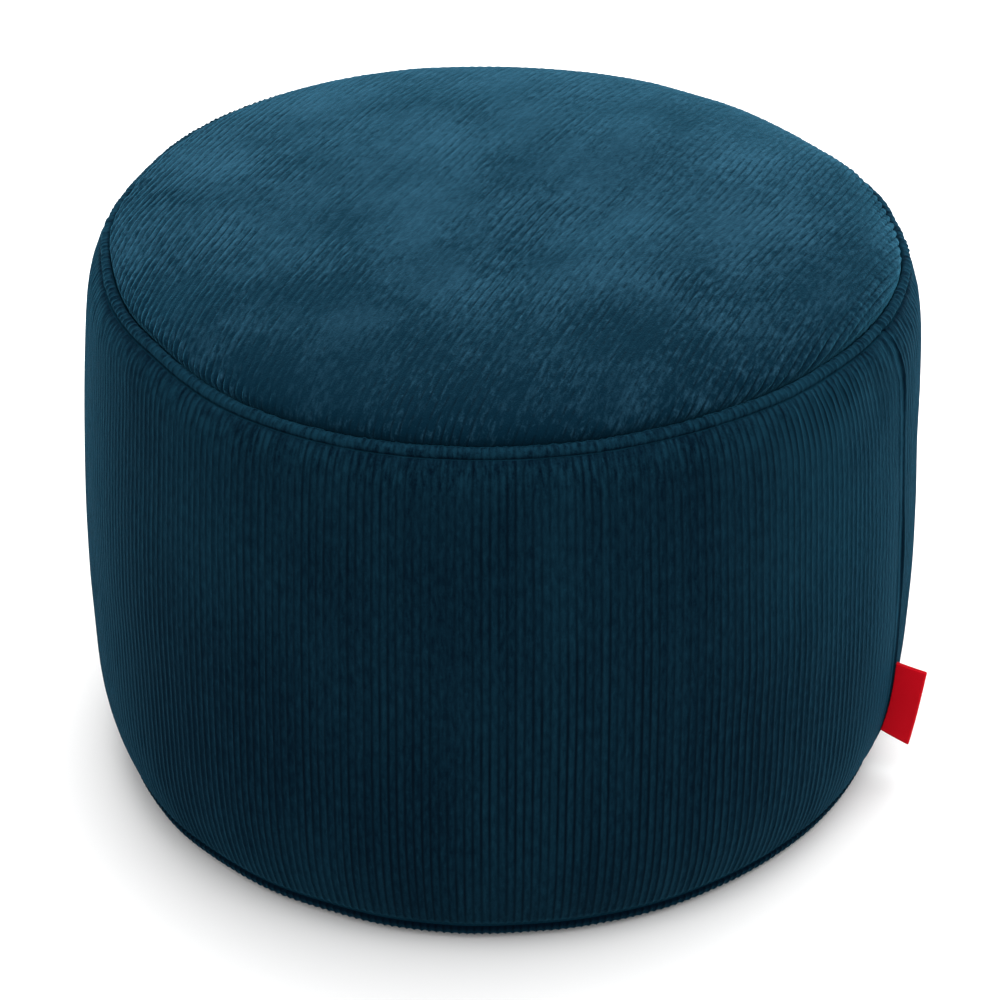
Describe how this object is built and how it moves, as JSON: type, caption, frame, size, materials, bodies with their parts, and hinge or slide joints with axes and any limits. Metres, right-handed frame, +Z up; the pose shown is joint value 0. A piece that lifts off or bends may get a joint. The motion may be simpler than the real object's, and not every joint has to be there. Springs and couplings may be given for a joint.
{
  "type": "bean bag footstool",
  "caption": "Round bean bag footstool in petrol blue wide-rib cord, with a crowned top, stitched welts and a red tab in the side seam.",
  "frame": {"origin": "on the floor under the middle of the footstool, on the flat underside of the base panel", "axes": "+Z up, -Y to the front as pictured, +X to the right, where the side seam and its tab are"},
  "size_m": [0.5062, 0.4965, 0.3573],
  "materials": {
    "cord_cloth": "soft short pile, ribbed",
    "base_cloth": "matt plain weave",
    "tab_tape": "satin woven tape"
  },
  "bodies": {
    "root": {"top_panel": "cord_cloth", "side_panel": "cord_cloth", "base_panel": "base_cloth", "side_tab": "tab_tape"}
  },
  "joints": []
}
